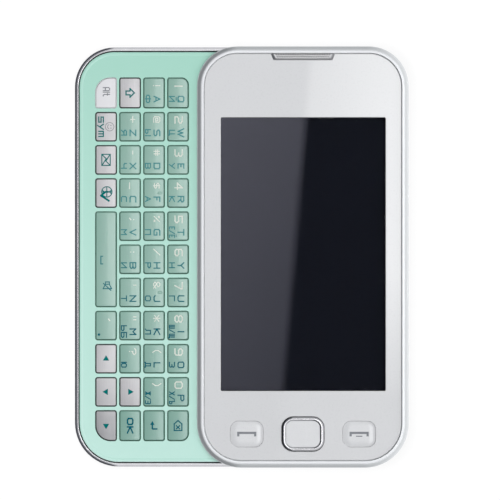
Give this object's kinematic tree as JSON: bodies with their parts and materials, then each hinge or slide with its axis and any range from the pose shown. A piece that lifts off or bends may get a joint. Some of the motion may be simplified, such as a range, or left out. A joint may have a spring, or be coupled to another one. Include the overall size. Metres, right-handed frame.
{
  "type": "side-slider keyboard phone",
  "caption": "Touchscreen phone whose screen half slides sideways to uncover a mint letter keyboard, with white shells, a chrome band and keys that press.",
  "frame": {"origin": "middle of the base half's back face, on which the phone lies", "axes": "+Z out of the screen, +Y along the phone towards the earpiece, +X the way the screen half slides open"},
  "size_m": [0.0871, 0.1094, 0.015],
  "materials": {
    "white_shell": "gloss white moulding",
    "white_rim": "pearl white lacquer",
    "chrome_band": "bright plated band",
    "chrome_key": "bright plated key",
    "mint_deck": "satin mint lacquer",
    "tinted_key": "translucent grey-green cap",
    "silver_key": "brushed silver cap",
    "front_key": "gloss white cap",
    "window": "clear, white painted border",
    "display": "dark display, switched off",
    "steel": "stamped steel",
    "slide_plate": "satin grey plate",
    "board": "populated circuit board",
    "battery_can": "wrapped cell, bare",
    "black_plastic": "black moulding"
  },
  "bodies": {
    "base": {"rear_housing": "white_shell", "mid_frame": "chrome_band", "keyboard_deck": "mint_deck", "main_board": "board", "battery": "battery_can", "headset_jack": "black_plastic", "camera_module": "black_plastic", "slide_rail": "steel"},
    "screen": {"slide_plate": "slide_plate", "screen_frame": "white_rim", "front_window": "window", "display_module": "display", "earpiece_mesh": "steel"},
    "cover": {"battery_cover": "white_shell"},
    "call": {"call_key": "front_key"},
    "home": {"home_key": "chrome_key"},
    "end": {"end_key": "front_key"},
    "volume": {"volume_key": "chrome_key"},
    "key_alt": {"key_alt": "silver_key"},
    "key_shift": {"key_shift": "silver_key"},
    "key_a": {"key_a": "tinted_key"},
    "key_q": {"key_q": "tinted_key"},
    "key_sym": {"key_sym": "silver_key"},
    "key_z": {"key_z": "tinted_key"},
    "key_s": {"key_s": "tinted_key"},
    "key_w": {"key_w": "tinted_key"},
    "key_message": {"key_message": "silver_key"},
    "key_x": {"key_x": "tinted_key"},
    "key_d": {"key_d": "tinted_key"},
    "key_e": {"key_e": "tinted_key"},
    "key_web": {"key_web": "silver_key"},
    "key_c": {"key_c": "tinted_key"},
    "key_f": {"key_f": "tinted_key"},
    "key_r": {"key_r": "tinted_key"},
    "key_space": {"key_space": "tinted_key"},
    "key_v": {"key_v": "tinted_key"},
    "key_g": {"key_g": "tinted_key"},
    "key_t": {"key_t": "tinted_key"},
    "key_b": {"key_b": "tinted_key"},
    "key_h": {"key_h": "tinted_key"},
    "key_y": {"key_y": "tinted_key"},
    "key_n": {"key_n": "tinted_key"},
    "key_j": {"key_j": "tinted_key"},
    "key_u": {"key_u": "tinted_key"},
    "key_comma": {"key_comma": "tinted_key"},
    "key_m": {"key_m": "tinted_key"},
    "key_k": {"key_k": "tinted_key"},
    "key_i": {"key_i": "tinted_key"},
    "key_left": {"key_left": "silver_key"},
    "key_question": {"key_question": "tinted_key"},
    "key_l": {"key_l": "tinted_key"},
    "key_o": {"key_o": "tinted_key"},
    "key_down": {"key_down": "silver_key"},
    "key_up": {"key_up": "silver_key"},
    "key_bracket": {"key_bracket": "tinted_key"},
    "key_p": {"key_p": "tinted_key"},
    "key_right": {"key_right": "silver_key"},
    "key_ok": {"key_ok": "tinted_key"},
    "key_enter": {"key_enter": "tinted_key"},
    "key_backspace": {"key_backspace": "tinted_key"}
  },
  "joints": [
    {"name": "screen_slide", "type": "slide", "parent": "base", "child": "screen", "axis": [1, 0, 0], "range_m": [-0.032, 0]},
    {"name": "cover_slide", "type": "slide", "parent": "base", "child": "cover", "axis": [0, -1, 0], "range_m": [0, 0.085]},
    {"name": "volume_rock", "type": "hinge", "parent": "base", "child": "volume", "pos_m": [-0.02472, 0.02415, 0.00468], "axis": [0, 0, 1], "range_deg": [-2, 2], "stiffness_Nm_per_rad": 0.27},
    {"name": "home_press", "type": "slide", "parent": "screen", "child": "home", "axis": [0, 0, 1], "range_m": [-0.0003, 0], "stiffness_N_per_m": 800},
    {"name": "call_press", "type": "slide", "parent": "screen", "child": "call", "axis": [0, 0, 1], "range_m": [-0.0003, 0], "stiffness_N_per_m": 800},
    {"name": "end_press", "type": "slide", "parent": "screen", "child": "end", "axis": [0, 0, 1], "range_m": [-0.0003, 0], "stiffness_N_per_m": 800},
    {"name": "key_space_press", "type": "slide", "parent": "base", "child": "key_space", "axis": [0, 0, 1], "range_m": [-0.0003, 0], "stiffness_N_per_m": 800},
    {"name": "key_q_press", "type": "slide", "parent": "base", "child": "key_q", "axis": [0, 0, 1], "range_m": [-0.0003, 0], "stiffness_N_per_m": 800},
    {"name": "key_enter_press", "type": "slide", "parent": "base", "child": "key_enter", "axis": [0, 0, 1], "range_m": [-0.0003, 0], "stiffness_N_per_m": 800},
    {"name": "key_shift_press", "type": "slide", "parent": "base", "child": "key_shift", "axis": [0, 0, 1], "range_m": [-0.0003, 0], "stiffness_N_per_m": 800},
    {"name": "key_alt_press", "type": "slide", "parent": "base", "child": "key_alt", "axis": [0, 0, 1], "range_m": [-0.0003, 0], "stiffness_N_per_m": 800},
    {"name": "key_a_press", "type": "slide", "parent": "base", "child": "key_a", "axis": [0, 0, 1], "range_m": [-0.0003, 0], "stiffness_N_per_m": 800},
    {"name": "key_sym_press", "type": "slide", "parent": "base", "child": "key_sym", "axis": [0, 0, 1], "range_m": [-0.0003, 0], "stiffness_N_per_m": 800},
    {"name": "key_z_press", "type": "slide", "parent": "base", "child": "key_z", "axis": [0, 0, 1], "range_m": [-0.0003, 0], "stiffness_N_per_m": 800},
    {"name": "key_s_press", "type": "slide", "parent": "base", "child": "key_s", "axis": [0, 0, 1], "range_m": [-0.0003, 0], "stiffness_N_per_m": 800},
    {"name": "key_w_press", "type": "slide", "parent": "base", "child": "key_w", "axis": [0, 0, 1], "range_m": [-0.0003, 0], "stiffness_N_per_m": 800},
    {"name": "key_message_press", "type": "slide", "parent": "base", "child": "key_message", "axis": [0, 0, 1], "range_m": [-0.0003, 0], "stiffness_N_per_m": 800},
    {"name": "key_x_press", "type": "slide", "parent": "base", "child": "key_x", "axis": [0, 0, 1], "range_m": [-0.0003, 0], "stiffness_N_per_m": 800},
    {"name": "key_d_press", "type": "slide", "parent": "base", "child": "key_d", "axis": [0, 0, 1], "range_m": [-0.0003, 0], "stiffness_N_per_m": 800},
    {"name": "key_e_press", "type": "slide", "parent": "base", "child": "key_e", "axis": [0, 0, 1], "range_m": [-0.0003, 0], "stiffness_N_per_m": 800},
    {"name": "key_web_press", "type": "slide", "parent": "base", "child": "key_web", "axis": [0, 0, 1], "range_m": [-0.0003, 0], "stiffness_N_per_m": 800},
    {"name": "key_c_press", "type": "slide", "parent": "base", "child": "key_c", "axis": [0, 0, 1], "range_m": [-0.0003, 0], "stiffness_N_per_m": 800},
    {"name": "key_f_press", "type": "slide", "parent": "base", "child": "key_f", "axis": [0, 0, 1], "range_m": [-0.0003, 0], "stiffness_N_per_m": 800},
    {"name": "key_r_press", "type": "slide", "parent": "base", "child": "key_r", "axis": [0, 0, 1], "range_m": [-0.0003, 0], "stiffness_N_per_m": 800},
    {"name": "key_v_press", "type": "slide", "parent": "base", "child": "key_v", "axis": [0, 0, 1], "range_m": [-0.0003, 0], "stiffness_N_per_m": 800},
    {"name": "key_g_press", "type": "slide", "parent": "base", "child": "key_g", "axis": [0, 0, 1], "range_m": [-0.0003, 0], "stiffness_N_per_m": 800},
    {"name": "key_t_press", "type": "slide", "parent": "base", "child": "key_t", "axis": [0, 0, 1], "range_m": [-0.0003, 0], "stiffness_N_per_m": 800},
    {"name": "key_b_press", "type": "slide", "parent": "base", "child": "key_b", "axis": [0, 0, 1], "range_m": [-0.0003, 0], "stiffness_N_per_m": 800},
    {"name": "key_h_press", "type": "slide", "parent": "base", "child": "key_h", "axis": [0, 0, 1], "range_m": [-0.0003, 0], "stiffness_N_per_m": 800},
    {"name": "key_y_press", "type": "slide", "parent": "base", "child": "key_y", "axis": [0, 0, 1], "range_m": [-0.0003, 0], "stiffness_N_per_m": 800},
    {"name": "key_n_press", "type": "slide", "parent": "base", "child": "key_n", "axis": [0, 0, 1], "range_m": [-0.0003, 0], "stiffness_N_per_m": 800},
    {"name": "key_j_press", "type": "slide", "parent": "base", "child": "key_j", "axis": [0, 0, 1], "range_m": [-0.0003, 0], "stiffness_N_per_m": 800},
    {"name": "key_u_press", "type": "slide", "parent": "base", "child": "key_u", "axis": [0, 0, 1], "range_m": [-0.0003, 0], "stiffness_N_per_m": 800},
    {"name": "key_comma_press", "type": "slide", "parent": "base", "child": "key_comma", "axis": [0, 0, 1], "range_m": [-0.0003, 0], "stiffness_N_per_m": 800},
    {"name": "key_m_press", "type": "slide", "parent": "base", "child": "key_m", "axis": [0, 0, 1], "range_m": [-0.0003, 0], "stiffness_N_per_m": 800},
    {"name": "key_k_press", "type": "slide", "parent": "base", "child": "key_k", "axis": [0, 0, 1], "range_m": [-0.0003, 0], "stiffness_N_per_m": 800},
    {"name": "key_i_press", "type": "slide", "parent": "base", "child": "key_i", "axis": [0, 0, 1], "range_m": [-0.0003, 0], "stiffness_N_per_m": 800},
    {"name": "key_left_press", "type": "slide", "parent": "base", "child": "key_left", "axis": [0, 0, 1], "range_m": [-0.0003, 0], "stiffness_N_per_m": 800},
    {"name": "key_question_press", "type": "slide", "parent": "base", "child": "key_question", "axis": [0, 0, 1], "range_m": [-0.0003, 0], "stiffness_N_per_m": 800},
    {"name": "key_l_press", "type": "slide", "parent": "base", "child": "key_l", "axis": [0, 0, 1], "range_m": [-0.0003, 0], "stiffness_N_per_m": 800},
    {"name": "key_o_press", "type": "slide", "parent": "base", "child": "key_o", "axis": [0, 0, 1], "range_m": [-0.0003, 0], "stiffness_N_per_m": 800},
    {"name": "key_down_press", "type": "slide", "parent": "base", "child": "key_down", "axis": [0, 0, 1], "range_m": [-0.0003, 0], "stiffness_N_per_m": 800},
    {"name": "key_up_press", "type": "slide", "parent": "base", "child": "key_up", "axis": [0, 0, 1], "range_m": [-0.0003, 0], "stiffness_N_per_m": 800},
    {"name": "key_bracket_press", "type": "slide", "parent": "base", "child": "key_bracket", "axis": [0, 0, 1], "range_m": [-0.0003, 0], "stiffness_N_per_m": 800},
    {"name": "key_p_press", "type": "slide", "parent": "base", "child": "key_p", "axis": [0, 0, 1], "range_m": [-0.0003, 0], "stiffness_N_per_m": 800},
    {"name": "key_right_press", "type": "slide", "parent": "base", "child": "key_right", "axis": [0, 0, 1], "range_m": [-0.0003, 0], "stiffness_N_per_m": 800},
    {"name": "key_ok_press", "type": "slide", "parent": "base", "child": "key_ok", "axis": [0, 0, 1], "range_m": [-0.0003, 0], "stiffness_N_per_m": 800},
    {"name": "key_backspace_press", "type": "slide", "parent": "base", "child": "key_backspace", "axis": [0, 0, 1], "range_m": [-0.0003, 0], "stiffness_N_per_m": 800}
  ]
}
